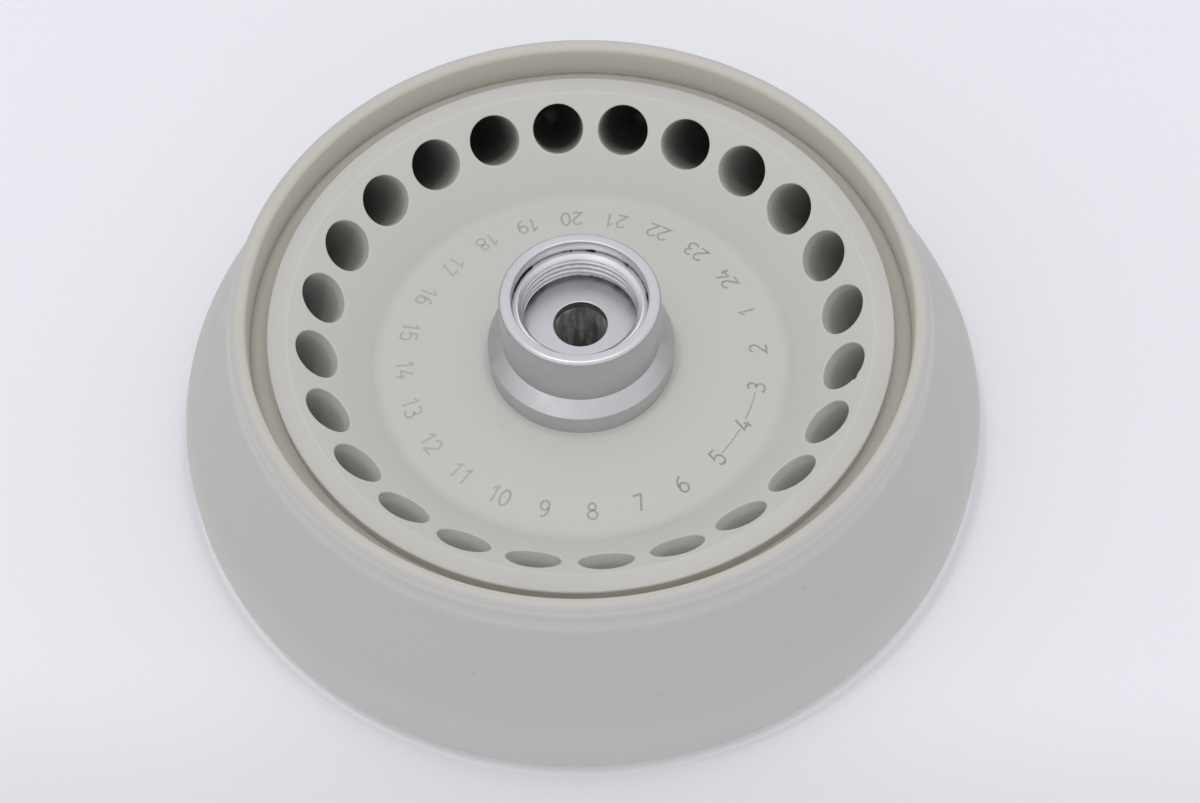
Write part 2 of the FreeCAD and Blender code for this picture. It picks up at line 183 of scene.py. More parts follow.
# ---- fineness of the meshes ----
SECTOR_IN_R = 50.4         # the cone is built in 24 sectors, one to a well, between these radii
SECTOR_OUT_R = 60.2
SIDE_STEPS = 16            # steps along each side of a sector
AROUND = WELL_COUNT * SIDE_STEPS
ROUND_STEPS = 6
RINGS_TO_MOUTH = (0.35, 0.7)    # shares of the way from a sector's border to its well's mouth
FINE_AROUND = 256
THREAD_AROUND = 240
THREAD_ROWS = 72
BUSH_AROUND = 192
SOCKET_AROUND = 64
ROD_AROUND = 48
LONGEST_RUN = 4.0
CREASE = 32                     # degrees; flatter edges are shaded smooth
WELD = 0.003
CUT_PAST = 1.0                  # how far a cutting rod reaches past the surface it cuts

# ---- numbers round the disc ----
NUMBER_RING_R = 37.7
NUMBER_HEIGHT = 3.6
NUMBER_STROKE = 0.5
NUMBER_ADVANCE = 0.72      # share of the height from one figure to the next
NUMBER_PROUD = 0.012
NUMBER_SUNK = 0.05
NUMBER_TURN = radians(-1.9)     # the printing sits a little clockwise of the wells
LINKED_NUMBERS = (3, 4)    # a fine line runs from each of these to the next number
LINK_SPAN = (0.14, 0.86)   # share of the way between the two numbers
LINK_WIDTH = 0.24


# ---- outlines ----
def rounded(corners, closed=True):
    """Points of an outline through (x, y) corners; a corner may add the radius of its round."""
    points = []
    for i, corner in enumerate(corners):
        here = Vector(corner[:2])
        if len(corner) == 2 or (not closed and i in (0, len(corners) - 1)):
            points.append(here)
            continue
        back = (Vector(corners[i - 1][:2]) - here).normalized()
        onward = (Vector(corners[(i + 1) % len(corners)][:2]) - here).normalized()
        half = back.angle(onward) / 2
        centre = here + (back + onward).normalized() * (corner[2] / sin(half))
        start = here + back * (corner[2] / tan(half)) - centre
        end = here + onward * (corner[2] / tan(half)) - centre
        first = atan2(start.y, start.x)
        turn = (atan2(end.y, end.x) - first + pi) % (2 * pi) - pi
        for k in range(ROUND_STEPS + 1):
            angle = first + turn * k / ROUND_STEPS
            points.append(centre + Vector((cos(angle), sin(angle))) * corner[2])
    return points


def divided(points, longest):
    """The outline with its long runs divided, so that no run is longer than longest."""
    result = []
    for i, point in enumerate(points):
        following = points[(i + 1) % len(points)]
        parts = max(1, round((following - point).length / longest))
        result += [point.lerp(following, k / parts) for k in range(parts)]
    return result


def cone_z(radius, drop=0.0):
    """Height of the carrier's cone at a radius."""
    return DISC_EDGE_Z + CONE_SLOPE * (radius - DISC_EDGE_R) - drop


def disc_z(radius):
    """Height of the crowned disc at a radius."""
    return SEAT_Z - DISC_SLOPE * (radius - SEAT_R)


# ---- meshes ----
def new_object(name, mesh):
    piece = bpy.data.objects.new(name, mesh)
    bpy.context.scene.collection.objects.link(piece)
    return piece


def object_of(name, vertices, faces):
    """Object of these vertices (mm) and faces, with shared vertices welded and normals outward."""
    mesh = bpy.data.meshes.new(name)
    mesh.from_pydata([Vector(v) * MM for v in vertices], [], faces)
    work = bmesh.new()
    work.from_mesh(mesh)
    bmesh.ops.remove_doubles(work, verts=work.verts, dist=1e-7)
    bmesh.ops.recalc_face_normals(work, faces=work.faces)
    work.to_mesh(mesh)
    work.free()
    return new_object(name, mesh)


def add_rings(vertices, faces, points, segments, closed, first_angle=0.0):
    """Rings about Z through (radius, height) points, joined into a surface, or into a solid if closed."""
    first = len(vertices)
    for r, z in points:
        for s in range(segments):
            angle = first_angle + 2 * pi * s / segments
            vertices.append((r * cos(angle), r * sin(angle), z))
    for i in range(len(points) if closed else len(points) - 1):
        here = first + i * segments
        there = first + (i + 1) % len(points) * segments
        for s in range(segments):
            after = (s + 1) % segments
            faces.append((here + s, here + after, there + after, there + s))


def turned(name, points, segments=AROUND):
    """Solid of revolution about Z of a closed outline of (radius, height) points."""
    vertices = []
    faces = []
    add_rings(vertices, faces, points, segments, closed=True)
    return object_of(name, vertices, faces)


def joined(name, pieces):
    """One object of several, which are used up."""
    work = bmesh.new()
    for piece in pieces:
        piece.data.transform(piece.matrix_basis)
        work.from_mesh(piece.data)
        mesh = piece.data
        bpy.data.objects.remove(piece)
        bpy.data.meshes.remove(mesh)
    mesh = bpy.data.meshes.new(name)
    work.to_mesh(mesh)
    work.free()
    return new_object(name, mesh)


def rod_of(name, radius, low, high):
    """Upright cylinder on Z."""
    return turned(name, [Vector(p) for p in ((0, low), (radius, low), (radius, high), (0, high))], ROD_AROUND)


def rods(name, radius, low, high, ring_radius, count, first_angle=0.0):
    """Upright cylinders, equally spaced on a circle about Z."""
    pieces = []
    for i in range(count):
        rod = rod_of(f"{name}_{i}", radius, low, high)
        angle = first_angle + 2 * pi * i / count
        rod.matrix_basis = Matrix.Translation(Vector((cos(angle), sin(angle), 0)) * ring_radius * MM)
        pieces.append(rod)
    return joined(name, pieces)


def box_of(name, low, high):
    corners = [(x, y, z) for x in (low[0], high[0]) for y in (low[1], high[1]) for z in (low[2], high[2])]
    faces = [(0, 1, 3, 2), (4, 6, 7, 5), (0, 4, 5, 1), (2, 3, 7, 6), (0, 2, 6, 4), (1, 5, 7, 3)]
    return object_of(name, corners, faces)


def cleaned(mesh):
    """Joins the hair-fine edges that a boolean leaves."""
    work = bmesh.new()
    work.from_mesh(mesh)
    bmesh.ops.remove_doubles(work, verts=work.verts, dist=WELD * MM)
    bmesh.ops.dissolve_degenerate(work, edges=work.edges, dist=WELD * MM)
    work.to_mesh(mesh)
    work.free()


def combine(piece, other, operation):
    """Boolean of a piece with another object, which is used up."""
    cut = piece.modifiers.new("cut", "BOOLEAN")
    cut.operation = operation
    cut.solver = "EXACT"
    cut.object = other
    bpy.context.view_layer.update()
    graph = bpy.context.evaluated_depsgraph_get()
    mesh = bpy.data.meshes.new_from_object(piece.evaluated_get(graph))
    piece.modifiers.clear()
    old = piece.data
    piece.data = mesh
    bpy.data.meshes.remove(old)
    bpy.data.objects.remove(other)
    cleaned(mesh)
    return piece


def smooth(piece):
    """Smooth shading with the sharper edges kept, and flats kept flat."""
    piece.data.shade_smooth()
    piece.data.set_sharp_from_angle(angle=radians(CREASE))
    weighted = piece.modifiers.new("normals", "WEIGHTED_NORMAL")
    weighted.keep_sharp = True
    return piece


def placed(piece, material, slot, *nodes):
    """The piece rides on the rotor, has this material and stands for these CAD nodes."""
    piece.data.materials.clear()
    piece.data.materials.append(material)
    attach(piece, "root")
    if nodes:
        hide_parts(*nodes)
    return piece


# ---- tube carrier ----
def well_outline(grown, start):
    """(radius, depth) points down one well: straight, tapered, then a round tip. grown adds to its radius."""
    radius = WELL_R + grown
    straight = WELL_STRAIGHT + grown * tan(TAPER / 2)
    depth = WELL_DEPTH + grown
    tip_corner = radius - (depth - straight) * tan(TAPER)
    return rounded([(radius, start), (radius, straight), (tip_corner, depth, WELL_TIP_R + grown), (0, depth)],
                   closed=False)


def well_frame(azimuth):
    """Centre of a well's mouth, and the directions up the cone, round the ring and out of the well."""
    out = Vector((cos(azimuth), sin(azimuth), 0))
    up = Vector((0, 0, 1))
    centre = out * WELL_RING_R + up * WELL_RING_Z
    along = out * sin(WELL_TILT) + up * cos(WELL_TILT)
    axis = up * cos(WELL_TILT) - out * sin(WELL_TILT)
    return centre, along, up.cross(out), axis


def on_cone(point, axis):
    """The point moved along the axis on to the carrier's cone."""
    for _ in range(6):
        radius = hypot(point.x, point.y)
        miss = point.z - cone_z(radius)
        rate = axis.z - CONE_SLOPE * (axis.x * point.x + axis.y * point.y) / radius
        point = point - axis * (miss / rate)
    return point


def sector_border():
    """(radius, azimuth from the sector's middle) of points round the edge of one sector of the cone."""
    half = WELL_PITCH / 2
    steps = [k / SIDE_STEPS for k in range(SIDE_STEPS)]
    width = SECTOR_OUT_R - SECTOR_IN_R
    border = [(SECTOR_OUT_R, -half + WELL_PITCH * t) for t in steps]
    border += [(SECTOR_OUT_R - width * t, half) for t in steps]
    border += [(SECTOR_IN_R, half - WELL_PITCH * t) for t in steps]
    border += [(SECTOR_IN_R + width * t, -half) for t in steps]
    return border


def add_sector(vertices, faces, azimuth):
    """One sector of the cone with its well in it."""
    centre, along, side, axis = well_frame(azimuth)
    border = [Vector((r * cos(azimuth + t), r * sin(azimuth + t), cone_z(r))) for r, t in sector_border()]
    turns = [atan2((b - centre).dot(side), (b - centre).dot(along)) for b in border]
    spokes = [along * cos(t) + side * sin(t) for t in turns]
    mouth = WELL_R + MOUTH_ROUND
    edge = [on_cone(centre + spoke * mouth, axis) for spoke in spokes]
    rings = [border]
    for share in RINGS_TO_MOUTH:
        rings.append([on_cone(b.lerp(e, share), axis) for b, e in zip(border, edge)])
    rings.append(edge)
    for k in range(1, ROUND_STEPS):
        angle = pi / 2 * k / (ROUND_STEPS - 1)
        radius = mouth - MOUTH_ROUND * sin(angle)
        sink = axis * MOUTH_ROUND * (1 - cos(angle))
        rings.append([on_cone(centre + spoke * radius, axis) - sink for spoke in spokes])
    for radius, depth in well_outline(0.0, WELL_START):
        rings.append([centre + spoke * radius - axis * depth for spoke in spokes])
    first = len(vertices)
    count = len(border)
    for ring in rings:
        vertices.extend(ring)
    for i in range(len(rings) - 1):
        here = first + i * count
        for k in range(count):
            after = (k + 1) % count
            faces.append((here + k, here + after, here + count + after, here + count + k))


def space_above_carrier():
    """Closed form of everything above the carrier's upper surface, the wells included."""
    within_r = 10.0
    beyond_r = 90.0
    beyond_z = 60.0
    groove_in = SHELL_SEAL_RING_R - SEAL_GROOVE_HALF
    groove_out = SHELL_SEAL_RING_R + SEAL_GROOVE_HALF
    groove_low = GROOVE_Z - 2 * SEAL_R
    vertices = []
    faces = []
    start_angle = WELL_2_AZIMUTH - WELL_PITCH / 2
    inner = rounded([
        (within_r, beyond_z), (within_r, SEAT_Z), (SEAT_R, SEAT_Z, SEAT_ROUND),
        (DISC_EDGE_R, DISC_EDGE_Z, DISC_ROUND), (SECTOR_IN_R, cone_z(SECTOR_IN_R))], closed=False)
    add_rings(vertices, faces, inner, AROUND, False, start_angle)
    for k in range(WELL_COUNT):
        add_sector(vertices, faces, WELL_2_AZIMUTH + WELL_PITCH * k)
    outer = rounded([
        (SECTOR_OUT_R, cone_z(SECTOR_OUT_R)), (PLATE_STEP_R, PLATE_Z, PLATE_STEP_ROUND),
        (PLATE_EDGE_R, PLATE_Z, PLATE_EDGE_ROUND), (PLATE_EDGE_R, GROOVE_Z), (groove_in, GROOVE_Z),
        (groove_in, groove_low), (groove_out, groove_low), (groove_out, GROOVE_Z), (beyond_r, GROOVE_Z),
        (beyond_r, beyond_z), (within_r, beyond_z)], closed=False)
    add_rings(vertices, faces, outer, AROUND, False, start_angle)
    return object_of("space_above_carrier", vertices, faces)


def well_sockets():
    """The walls of the 24 wells, still solid."""
    pieces = []
    outline = [Vector((0, CARRIER_WALL / 2))] + well_outline(WELL_WALL, CARRIER_WALL / 2)
    for k in range(WELL_COUNT):
        centre, along, side, axis = well_frame(WELL_2_AZIMUTH + WELL_PITCH * k)
        socket = turned(f"socket_{k}", [Vector((r, -depth)) for r, depth in outline], SOCKET_AROUND)
        turn = Matrix((along, side, axis)).transposed().to_4x4()
        socket.matrix_basis = Matrix.Translation(centre * MM) @ turn
        pieces.append(socket)
    return joined("well_sockets", pieces)


def nick():
    """The small chip broken out of the edge of well 3."""
    centre, along, side, axis = well_frame(WELL_2_AZIMUTH - WELL_PITCH)
    spot = on_cone(centre + (along * cos(NICK_TURN) + side * sin(NICK_TURN)) * WELL_R, axis)
    work = bmesh.new()
    bmesh.ops.create_icosphere(work, subdivisions=2, radius=NICK_R * MM)
    shake = random.Random(NICK_SEED)
    for vertex in work.verts:
        vertex.co *= shake.uniform(*NICK_ROUGH)
    mesh = bpy.data.meshes.new("nick")
    work.to_mesh(mesh)
    work.free()
    mesh.transform(Matrix.Translation(spot * MM))
    return new_object("nick", mesh)


def make_tube_carrier():
    corner_r = DISC_EDGE_R + (SEAT_WEB - CONE_DROP) / (CONE_SLOPE + DISC_SLOPE)
    above = PLATE_Z + 8
    bore = SPIGOT_R + FIT
    plate = turned("tube_carrier", rounded(
        [(bore, above), (FLANGE_R, above), (FLANGE_R, FLANGE_LOW_Z), (SKIRT_IN_R, FLANGE_LOW_Z),
         (SKIRT_IN_R, cone_z(SKIRT_IN_R, CONE_DROP)), (corner_r, cone_z(corner_r, CONE_DROP)),
         (SEAT_R, SEAT_Z - SEAT_WEB), (bore, SEAT_Z - SEAT_WEB)]), FINE_AROUND)
    beyond = above + 5
    for holes in (rods("web_holes", CLEAR_R, 0, beyond, HUB_SCREW_RING_R, HUB_SCREW_COUNT),
                  rods("dowel_holes", DOWEL_R, 0, beyond, HUB_SCREW_RING_R, DOWEL_COUNT, pi / 2)):
        combine(plate, holes, "DIFFERENCE")
    combine(plate, well_sockets(), "UNION")
    combine(plate, space_above_carrier(), "DIFFERENCE")
    combine(plate, nick(), "DIFFERENCE")
    return smooth(plate)


# ---- outer shell ----
def bevel_r(z, wall=0.0):
    """Radius of the bevel below the band at a height."""
    return BAND_R - BAND_LOW_Z + z - wall * sqrt(2)


def shell_outside():
    """Corners of the shell's outside, from the rim down to the seam."""
    return [(RIM_OUT_R, RIM_TOP_Z, RIM_OUT_ROUND), (RIM_OUT_R, NECK_Z, NECK_ROUND),
            (BAND_R, BAND_TOP_Z, BAND_ROUND), (BAND_R, BAND_LOW_Z, BAND_LOW_ROUND), (bevel_r(SEAM_Z), SEAM_Z)]


def make_posts():
    """The posts that hold the threaded inserts, each with a web out to the shell's wall."""
    pieces = []
    for i in range(BASE_SCREW_COUNT):
        turn = Matrix.Rotation(2 * pi * i / BASE_SCREW_COUNT, 4, "Z")
        post = rod_of(f"post_{i}", POST_R, POST_LOW_Z, POST_TOP_Z)
        post.data.transform(Matrix.Translation((BASE_SCREW_RING_R * MM, 0, 0)))
        web = box_of(f"web_{i}", (BASE_SCREW_RING_R, -POST_WEB / 2, POST_LOW_Z),
                     (BAND_R, POST_WEB / 2, POST_TOP_Z))
        combine(post, web, "UNION")
        post.matrix_basis = turn
        pieces.append(post)
    return joined("posts", pieces)


def make_outer_shell():
    slope = (BAND_R - RIM_OUT_R) / (NECK_Z - BAND_TOP_Z)
    shoulder_r = STEP_R + SHOULDER_WIDTH
    shoulder_z = NECK_Z - (shoulder_r + SHELL_WALL - RIM_OUT_R) / slope
    band_in_top_z = NECK_Z - (BAND_IN_R + SHELL_WALL - RIM_OUT_R) / slope
    inside = [(bevel_r(SEAM_Z, BEVEL_WALL), SEAM_Z), (BAND_IN_R, BAND_IN_R - bevel_r(0, BEVEL_WALL)),
              (BAND_IN_R, band_in_top_z), (shoulder_r, shoulder_z), (STEP_R, FLANGE_LOW_Z),
              (STEP_R, GROOVE_Z), (RIM_IN_R, GROOVE_Z), (RIM_IN_R, RIM_TOP_Z, RIM_IN_ROUND)]
    shell = turned("outer_shell", divided(rounded(shell_outside() + inside), LONGEST_RUN))
    envelope = turned("envelope", rounded([(0, RIM_TOP_Z)] + shell_outside() + [(0, SEAM_Z)]))
    posts = combine(make_posts(), envelope, "INTERSECT")
    combine(shell, posts, "UNION")
    holes = rods("insert_holes", INSERT_R, POST_LOW_Z - CUT_PAST, INSERT_TOP_Z, BASE_SCREW_RING_R,
                 BASE_SCREW_COUNT)
    combine(shell, holes, "DIFFERENCE")
    return smooth(shell)


# ---- hub and what is pressed into it ----
def make_hub():
    groove_in = HUB_SEAL_RING_R - SEAL_GROOVE_HALF
    groove_out = HUB_SEAL_RING_R + SEAL_GROOVE_HALF
    groove_top = SEAT_Z + 2 * SEAL_R
    bush_bore = BUSH_R + FIT
    outline = rounded([
        (SPIGOT_R - SPIGOT_CHAMFER, HUB_LOW_Z), (SPIGOT_R, HUB_LOW_Z + SPIGOT_CHAMFER), (SPIGOT_R, SEAT_Z),
        (groove_in, SEAT_Z), (groove_in, groove_top), (groove_out, groove_top), (groove_out, SEAT_Z),
        (HUB_FLANGE_R, SEAT_Z), (HUB_FLANGE_R, HUB_FLANGE_Z, HUB_FLANGE_ROUND),
        (HUB_R, HUB_CONE_TOP_Z, HUB_CONE_ROUND), (HUB_R, HUB_TOP_Z, HUB_RIM_ROUND),
        (CUP_R, HUB_TOP_Z, CUP_ROUND), (CUP_R, CUP_SHOULDER_Z), (RELIEF_R, CUP_SHOULDER_Z),
        (RELIEF_R, CUP_FLOOR_Z, RELIEF_ROUND), (BORE_R, CUP_FLOOR_Z, BORE_ROUND), (BORE_R, FLOOR_LOW_Z),
        (bush_bore, FLOOR_LOW_Z), (bush_bore, BUSH_LOW_Z),
        (RETAINER_GROOVE_R, BUSH_LOW_Z), (RETAINER_GROOVE_R, RETAINER_LOW_Z), (bush_bore, RETAINER_LOW_Z),
        (bush_bore, SOCKET_TOP_Z), (SOCKET_R, SOCKET_TOP_Z), (SOCKET_R, HUB_LOW_Z)])
    hub = turned("hub", outline, FINE_AROUND)
    below = SEAT_Z - CUT_PAST
    for holes in (rods("screw_holes", SCREW_R, below, SCREW_HOLE_TOP_Z, HUB_SCREW_RING_R, HUB_SCREW_COUNT),
                  rods("dowel_holes", DOWEL_R, below, DOWEL_TOP_Z, HUB_SCREW_RING_R, DOWEL_COUNT, pi / 2),
                  rods("pin_holes", DRIVE_PIN_R, SOCKET_TOP_Z - CUT_PAST, DRIVE_PIN_TOP_Z, DRIVE_PIN_RING_R,
                       DRIVE_PIN_COUNT)):
        combine(hub, holes, "DIFFERENCE")
    return smooth(hub)


def thread_r(height, turn):
    """Radius of the lid's thread at a height, at a share of a turn round the axis."""
    phase = (height / THREAD_PITCH - turn) % 1.0
    crest = 0.5 - 0.5 * cos(2 * pi * phase)
    run_in = min(1.0, (THREAD_TOP_Z - THREAD_CLEAR_TOP - height) / THREAD_FADE_TOP,
                 (height - CUP_SHOULDER_Z) / THREAD_FADE_LOW)
    return THREAD_MINOR_R + THREAD_DEPTH * crest * max(0.0, run_in)


def make_lid_thread_ring():
    outer_r = CUP_R - FIT
    chamfer_z = THREAD_TOP_Z - RING_CHAMFER
    vertices = []
    faces = []
    depth = chamfer_z - CUP_SHOULDER_Z
    heights = [CUP_SHOULDER_Z + depth * k / THREAD_ROWS for k in range(THREAD_ROWS + 1)]
    for s in range(THREAD_AROUND):
        turn = s / THREAD_AROUND
        column = [(thread_r(z, turn), z) for z in heights]
        column += [(THREAD_MINOR_R + RING_CHAMFER, THREAD_TOP_Z), (outer_r - RING_BEVEL_WIDTH, THREAD_TOP_Z),
                   (outer_r, THREAD_TOP_Z - RING_BEVEL_DEPTH), (outer_r, CUP_SHOULDER_Z)]
        angle = 2 * pi * turn
        vertices += [(r * cos(angle), r * sin(angle), z) for r, z in column]
    count = len(column)
    for s in range(THREAD_AROUND):
        here = s * count
        there = (s + 1) % THREAD_AROUND * count
        for k in range(count):
            after = (k + 1) % count
            faces.append((here + k, here + after, there + after, there + k))
    return smooth(object_of("lid_thread_ring", vertices, faces))


def make_bore_bush():
    return smooth(turned("bore_bush", rounded([
        (BORE_R, BUSH_LOW_Z, BUSH_ROUND), (BUSH_R, BUSH_LOW_Z, BUSH_ROUND), (BUSH_R, BUSH_TOP_Z),
        (BORE_R, BUSH_TOP_Z)]), BUSH_AROUND))


# ---- numbers ----
def arc(x, y, across, high, first, last, steps=14):
    """Points of an elliptical arc, angles in degrees, anticlockwise if last is above first."""
    angles = [radians(first + (last - first) * k / steps) for k in range(steps + 1)]
    return [(x + across * cos(a), y + high * sin(a)) for a in angles]


# strokes of each figure in a cell one high and 0.6 wide, from the lower left; True closes the stroke
FIGURES = {
    "0": [(arc(0.3, 0.5, 0.26, 0.5, 0, 345, 22), True)],
    "1": [([(0.12, 0.76), (0.38, 1.0), (0.38, 0.0)], False)],
    "2": [(arc(0.3, 0.72, 0.26, 0.28, 165, -35) + [(0.04, 0.0), (0.58, 0.0)], False)],
    "3": [(arc(0.28, 0.76, 0.24, 0.24, 150, -80) + arc(0.28, 0.26, 0.28, 0.27, 80, -150), False)],
    "4": [([(0.36, 1.0), (0.03, 0.27), (0.6, 0.27)], False), ([(0.43, 0.5), (0.43, 0.0)], False)],
    "5": [([(0.54, 1.0), (0.12, 1.0), (0.07, 0.56)] + arc(0.29, 0.32, 0.27, 0.32, 118, -150), False)],
    "6": [(arc(0.3, 0.3, 0.25, 0.3, 0, 342, 20), True), (arc(0.41, 0.42, 0.36, 0.58, 182, 84, 8), False)],
    "7": [([(0.04, 1.0), (0.56, 1.0), (0.24, 0.0)], False)],
    "8": [(arc(0.3, 0.77, 0.21, 0.23, 0, 340, 18), True), (arc(0.3, 0.27, 0.26, 0.27, 0, 342, 20), True)],
    "9": [(arc(0.3, 0.7, 0.25, 0.3, 0, 342, 20), True), (arc(0.19, 0.58, 0.36, 0.58, 2, -96, 8), False)],
}


def add_stroke(vertices, faces, points, closed, place, width=NUMBER_STROKE):
    """A stroke as a thin closed solid. place gives the spot of (x, y, height)."""
    path = [Vector(p) * NUMBER_HEIGHT for p in points]
    half = width / 2
    last = len(path) - 1
    left = []
    right = []
    for i, here in enumerate(path):
        before = path[i - 1] if closed or i else here - (path[1] - here)
        after = path[(i + 1) % len(path)] if closed or i < last else here + (here - path[i - 1])
        one = (here - before).normalized()
        two = (after - here).normalized()
        across = Vector((-one.y - two.y, one.x + two.x)).normalized()
        reach = half / max(0.45, across.dot(Vector((-one.y, one.x))))
        left.append(here + across * reach)
        right.append(here - across * reach)
    first = len(vertices)
    count = len(path)
    for height in (NUMBER_PROUD, -NUMBER_SUNK):
        vertices.extend(place(p, height) for p in left + right)
    top_left, top_right, low_left, low_right = (first + count * k for k in range(4))
    for i in range(count if closed else last):
        j = (i + 1) % count
        faces.append((top_right + i, top_right + j, top_left + j, top_left + i))
        faces.append((low_left + i, low_left + j, low_right + j, low_right + i))
        faces.append((top_left + i, top_left + j, low_left + j, low_left + i))
        faces.append((low_right + i, low_right + j, top_right + j, top_right + i))
    if not closed:
        for i in (0, last):
            faces.append((top_left + i, low_left + i, low_right + i, top_right + i))


def make_tube_numbers():
    """The numbers 1 to 24, each beside its well's line, with their tops towards the hub."""
    first_azimuth = WELL_2_AZIMUTH + NUMBER_TURN
    vertices = []
    faces = []
    for number in range(1, WELL_COUNT + 1):
        azimuth = first_azimuth - WELL_PITCH * (number - 2)
        text = str(number)
        start = -(NUMBER_ADVANCE * (len(text) - 1) + 0.6) / 2 * NUMBER_HEIGHT
        for i, figure in enumerate(text):
            shift = start + i * NUMBER_ADVANCE * NUMBER_HEIGHT

            def place(point, height):
                radius = NUMBER_RING_R - (point.y - NUMBER_HEIGHT / 2)
                turn = azimuth + (point.x + shift) / NUMBER_RING_R
                return (radius * cos(turn), radius * sin(turn), disc_z(radius) + height)

            for points, closed in FIGURES[figure]:
                add_stroke(vertices, faces, points, closed, place)
    for number in LINKED_NUMBERS:
        start, end = (first_azimuth - WELL_PITCH * (number - 2 + share) for share in LINK_SPAN)

        def along_ring(point, height):
            turn = start + (end - start) * point.x / NUMBER_HEIGHT
            radius = NUMBER_RING_R - point.y
            return (radius * cos(turn), radius * sin(turn), disc_z(radius) + height)

        add_stroke(vertices, faces, [(k / 8, 0.0) for k in range(9)], False, along_ring, LINK_WIDTH)
    return object_of("tube_numbers", vertices, faces)


# ---- materials ----
class Finish:
    """A node material with one Principled shader, and short calls that add nodes to it."""

    def __init__(self, name, metallic=0.0, ior=1.49):
        self.material = bpy.data.materials.new(name)
        self.material.use_nodes = True
        self.tree = self.material.node_tree
        self.shader = self.tree.nodes["Principled BSDF"]
        self.shader.inputs["Metallic"].default_value = metallic
        self.shader.inputs["IOR"].default_value = ior
        self.place = self.node("ShaderNodeTexCoord").outputs["Object"]
        split = self.node("ShaderNodeSeparateXYZ", Vector=self.place)
        flat = self.node("ShaderNodeCombineXYZ", X=split.outputs["X"], Y=split.outputs["Y"])
        length = self.node("ShaderNodeVectorMath", operation="LENGTH")
        self.tree.links.new(flat.outputs["Vector"], length.inputs[0])
        self.radius = self.times(length.outputs["Value"], 1 / MM)
        self.height = self.times(split.outputs["Z"], 1 / MM)
        self.turn = self.maths("ARCTAN2", split.outputs["Y"], split.outputs["X"])

    def node(self, kind, **sockets):
        """A node; a lower-case name is a setting and a capitalised one an input, linked or set."""
        made = self.tree.nodes.new(kind)
        for name, value in sockets.items():
            if name[0].islower():
                setattr(made, name, value)
            elif isinstance(value, bpy.types.NodeSocket):
                self.tree.links.new(value, made.inputs[name.replace("_", " ")])
            else:
                made.inputs[name.replace("_", " ")].default_value = value
        return made

    def maths(self, operation, *values):
        made = self.node("ShaderNodeMath", operation=operation)
        for i, value in enumerate(values):
            if isinstance(value, bpy.types.NodeSocket):
                self.tree.links.new(value, made.inputs[i])
            else:
                made.inputs[i].default_value = value
        return made.outputs[0]

    def times(self, *values):
        return self.maths("MULTIPLY", *values)

    def ramp(self, value, low, high, low_to=0.0, high_to=1.0):
        """Smooth step of a value from low to high."""
        made = self.node("ShaderNodeMapRange", interpolation_type="SMOOTHSTEP", Value=value, From_Min=low,
                         From_Max=high, To_Min=low_to, To_Max=high_to)
        return made.outputs["Result"]

    def between(self, value, low, high, soft):
        """1 between low and high, falling to 0 over soft outside them."""
        rising = self.ramp(value, low - soft, low)
        falling = self.ramp(value, high, high + soft, 1.0, 0.0)
        return self.times(rising, falling)

    def noise(self, per_mm, detail=3.0, roughness=0.5, place=None):
        made = self.node("ShaderNodeTexNoise", Vector=place or self.place, Scale=per_mm / MM, Detail=detail,
                         Roughness=roughness, Distortion=0.0)
        return made.outputs["Fac"]

    def marks(self, per_radian, per_mm_up, per_mm_out=0.0, detail=3.0, roughness=0.5):
        """Noise that runs round the axis, for marks that are longer one way than the other."""
        x = self.times(self.turn, per_radian * MM)
        y = self.times(self.height, per_mm_up * MM)
        z = self.times(self.radius, per_mm_out * MM)
        place = self.node("ShaderNodeCombineXYZ", X=x, Y=y, Z=z).outputs["Vector"]
        return self.noise(1.0, detail, roughness, place)

    def blend(self, share, one, two):
        made = self.node("ShaderNodeMix", data_type="RGBA", blend_type="MIX")
        for socket, value in ((made.inputs[0], share), (made.inputs[6], one), (made.inputs[7], two)):
            if isinstance(value, bpy.types.NodeSocket):
                self.tree.links.new(value, socket)
            else:
                socket.default_value = value if isinstance(value, float) else (*value, 1.0)[:4]
        return made.outputs[2]

    def tinted(self, tone, colour, share, *masks):
        """The tone turned towards a colour by this share, where all the masks let it be."""
        for mask in masks:
            share = self.times(mask, share)
        return self.blend(share, tone, colour)

    def colour(self, value):
        self.tree.links.new(value, self.shader.inputs["Base Color"])

    def roughness(self, value):
        self.tree.links.new(value, self.shader.inputs["Roughness"])

    def bump(self, height, depth_mm, strength=1.0):
        """Adds a bump of that depth to the ones already there."""
        made = self.node("ShaderNodeBump", Strength=strength, Distance=depth_mm * MM, Height=height)
        normal = self.shader.inputs["Normal"]
        if normal.links:
            self.tree.links.new(normal.links[0].from_socket, made.inputs["Normal"])
        self.tree.links.new(made.outputs["Normal"], normal)


PLASTIC = (0.520, 0.506, 0.474)
PLASTIC_WARM = (0.500, 0.478, 0.420)
# the shell's outside grey, darker than the plastic as painted shade; the paler copies of it below are painted
# light
SHELL_GREY_PAINTED_SHADE = (0.455, 0.445, 0.423)
# brown for the groove's wall, paler than the plastic: partly its brown tint, partly painted light on a wall
# in shade
GROOVE_BROWN_PAINTED_LIGHT = (0.600, 0.545, 0.490)
NUMBER_GREY = (0.235, 0.230, 0.227)
DIRT = (0.105, 0.100, 0.092)
GRIME = (0.230, 0.200, 0.170)
METAL_GRIME = (0.170, 0.170, 0.175)
METAL_BLACK = (0.050, 0.050, 0.052)


def shade(colour, factor):
    return tuple(c * factor for c in colour)


